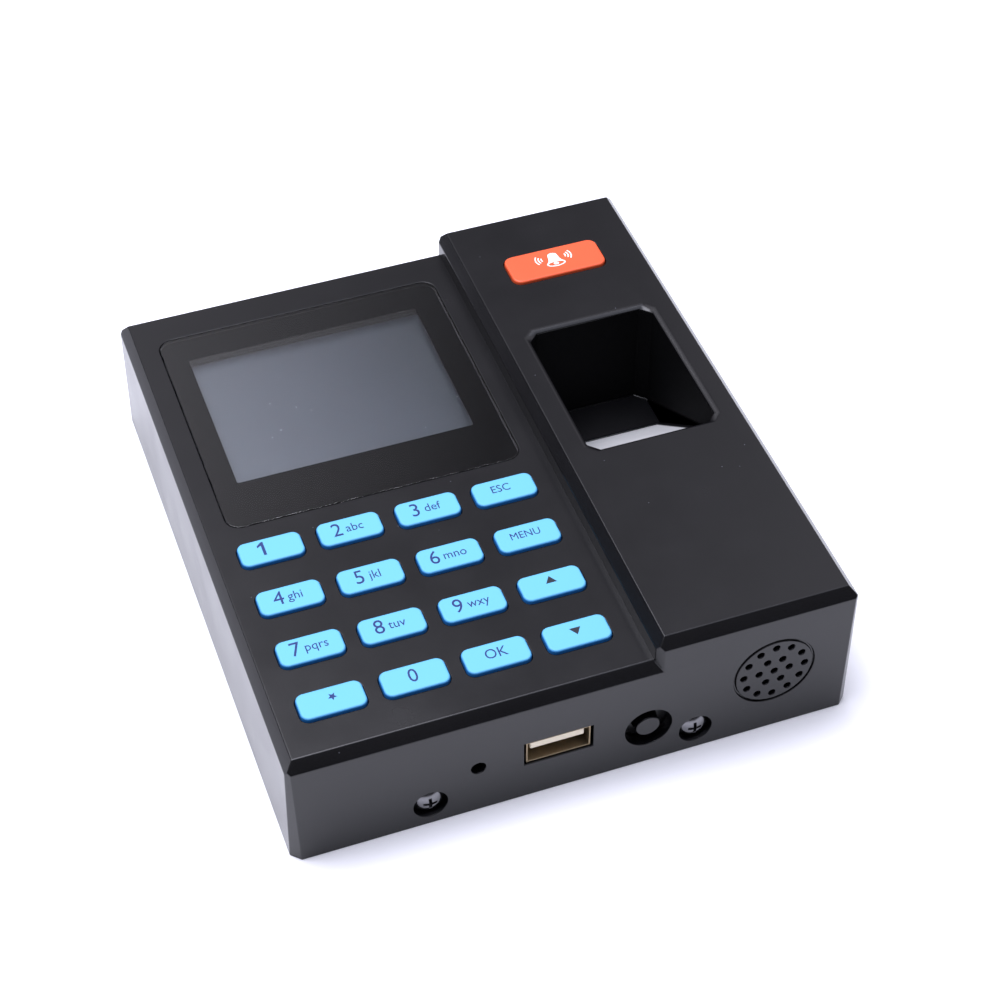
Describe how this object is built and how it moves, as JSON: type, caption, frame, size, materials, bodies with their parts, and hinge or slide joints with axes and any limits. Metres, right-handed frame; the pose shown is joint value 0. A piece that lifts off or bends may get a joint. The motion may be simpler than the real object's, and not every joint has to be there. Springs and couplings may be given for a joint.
{
  "type": "fingerprint access terminal",
  "caption": "Wall-mounted fingerprint terminal with a keypad and display on a low deck, and a finger well and bell button on a raised block.",
  "frame": {"origin": "middle of the base, on the wall side of the case", "axes": "+X to the right seen from the front, +Y from the edge with the USB socket to the opposite edge, +Z away from the wall"},
  "size_m": [0.116, 0.131, 0.0341],
  "materials": {
    "case_abs": "fine moulded texture",
    "cover_abs": "moulded",
    "holder_abs": "moulded",
    "zinc_steel": "zinc plated sheet",
    "screw_steel": "nickel plated",
    "lens_acrylic": "polished, black printed border",
    "foam_tape": "closed-cell foam",
    "lcd_glass": "switched-off display",
    "tray_steel": "pressed",
    "polyimide": "flexible circuit",
    "mat_silicone": "matte",
    "key_silicone": "satin, sky blue",
    "fr4": "solder mask",
    "nylon": "natural",
    "chip_epoxy": "moulded epoxy",
    "capacitor_sleeve": "shrink sleeve",
    "cell_steel": "nickel plated",
    "gold_pins": "gold flash",
    "bell_plastic": "satin coral red",
    "stem_plastic": "moulded",
    "switch_plastic": "moulded",
    "power_plastic": "fine moulded texture",
    "usb_steel": "plated shell",
    "usb_insulator": "ivory",
    "cone_film": "formed film",
    "sensor_glass": "coated sensor window"
  },
  "bodies": {
    "case": {"front_housing": "case_abs", "rear_cover": "cover_abs", "wall_bracket": "zinc_steel", "bracket_screws": "screw_steel", "cover_screws": "screw_steel", "board_screws": "screw_steel", "display_lens": "lens_acrylic", "lens_tape": "foam_tape", "display_gasket": "foam_tape", "lcd_panel": "lcd_glass", "lcd_frame": "tray_steel", "lcd_flex": "polyimide", "keypad_mat": "mat_silicone", "keypad_board": "fr4", "board_spacers": "nylon", "main_board": "fr4", "main_chips": "chip_epoxy", "capacitors": "capacitor_sleeve", "cell_holder": "switch_plastic", "coin_cell": "cell_steel", "wire_headers": "nylon", "header_pins": "gold_pins", "bell_switch": "switch_plastic", "bell_board": "fr4", "power_switch": "switch_plastic", "reset_switch": "switch_plastic", "usb_shell": "usb_steel", "usb_tongue": "usb_insulator", "usb_contacts": "gold_pins", "speaker_gasket": "foam_tape", "speaker_frame": "tray_steel", "speaker_cone": "cone_film", "speaker_magnet": "tray_steel", "sensor_holder": "holder_abs", "sensor_glass": "sensor_glass", "sensor_camera": "switch_plastic", "sensor_board": "fr4", "sensor_flex": "polyimide"},
    "key_1": {"key_1": "key_silicone"},
    "key_2": {"key_2": "key_silicone"},
    "key_3": {"key_3": "key_silicone"},
    "key_esc": {"key_esc": "key_silicone"},
    "key_4": {"key_4": "key_silicone"},
    "key_5": {"key_5": "key_silicone"},
    "key_6": {"key_6": "key_silicone"},
    "key_menu": {"key_menu": "key_silicone"},
    "key_7": {"key_7": "key_silicone"},
    "key_8": {"key_8": "key_silicone"},
    "key_9": {"key_9": "key_silicone"},
    "key_up": {"key_up": "key_silicone"},
    "key_star": {"key_star": "key_silicone"},
    "key_0": {"key_0": "key_silicone"},
    "key_ok": {"key_ok": "key_silicone"},
    "key_down": {"key_down": "key_silicone"},
    "bell": {"bell_button": "bell_plastic", "bell_stem": "stem_plastic"},
    "power": {"power_button": "power_plastic", "power_stem": "stem_plastic"},
    "reset": {"reset_stem": "stem_plastic"}
  },
  "joints": [
    {"name": "key_1_press", "type": "slide", "parent": "case", "child": "key_1", "axis": [0, 0, -1], "range_m": [0, 0.0008], "stiffness_N_per_m": 400},
    {"name": "key_2_press", "type": "slide", "parent": "case", "child": "key_2", "axis": [0, 0, -1], "range_m": [0, 0.0008], "stiffness_N_per_m": 400},
    {"name": "key_3_press", "type": "slide", "parent": "case", "child": "key_3", "axis": [0, 0, -1], "range_m": [0, 0.0008], "stiffness_N_per_m": 400},
    {"name": "key_esc_press", "type": "slide", "parent": "case", "child": "key_esc", "axis": [0, 0, -1], "range_m": [0, 0.0008], "stiffness_N_per_m": 400},
    {"name": "key_4_press", "type": "slide", "parent": "case", "child": "key_4", "axis": [0, 0, -1], "range_m": [0, 0.0008], "stiffness_N_per_m": 400},
    {"name": "key_5_press", "type": "slide", "parent": "case", "child": "key_5", "axis": [0, 0, -1], "range_m": [0, 0.0008], "stiffness_N_per_m": 400},
    {"name": "key_6_press", "type": "slide", "parent": "case", "child": "key_6", "axis": [0, 0, -1], "range_m": [0, 0.0008], "stiffness_N_per_m": 400},
    {"name": "key_menu_press", "type": "slide", "parent": "case", "child": "key_menu", "axis": [0, 0, -1], "range_m": [0, 0.0008], "stiffness_N_per_m": 400},
    {"name": "key_7_press", "type": "slide", "parent": "case", "child": "key_7", "axis": [0, 0, -1], "range_m": [0, 0.0008], "stiffness_N_per_m": 400},
    {"name": "key_8_press", "type": "slide", "parent": "case", "child": "key_8", "axis": [0, 0, -1], "range_m": [0, 0.0008], "stiffness_N_per_m": 400},
    {"name": "key_9_press", "type": "slide", "parent": "case", "child": "key_9", "axis": [0, 0, -1], "range_m": [0, 0.0008], "stiffness_N_per_m": 400},
    {"name": "key_up_press", "type": "slide", "parent": "case", "child": "key_up", "axis": [0, 0, -1], "range_m": [0, 0.0008], "stiffness_N_per_m": 400},
    {"name": "key_star_press", "type": "slide", "parent": "case", "child": "key_star", "axis": [0, 0, -1], "range_m": [0, 0.0008], "stiffness_N_per_m": 400},
    {"name": "key_0_press", "type": "slide", "parent": "case", "child": "key_0", "axis": [0, 0, -1], "range_m": [0, 0.0008], "stiffness_N_per_m": 400},
    {"name": "key_ok_press", "type": "slide", "parent": "case", "child": "key_ok", "axis": [0, 0, -1], "range_m": [0, 0.0008], "stiffness_N_per_m": 400},
    {"name": "key_down_press", "type": "slide", "parent": "case", "child": "key_down", "axis": [0, 0, -1], "range_m": [0, 0.0008], "stiffness_N_per_m": 400},
    {"name": "bell_press", "type": "slide", "parent": "case", "child": "bell", "axis": [0, 0, -1], "range_m": [0, 0.0004], "stiffness_N_per_m": 800},
    {"name": "power_press", "type": "slide", "parent": "case", "child": "power", "axis": [0, 1, 0], "range_m": [0, 0.0004], "stiffness_N_per_m": 800},
    {"name": "reset_press", "type": "slide", "parent": "case", "child": "reset", "axis": [0, 1, 0], "range_m": [0, 0.00025], "stiffness_N_per_m": 800}
  ]
}
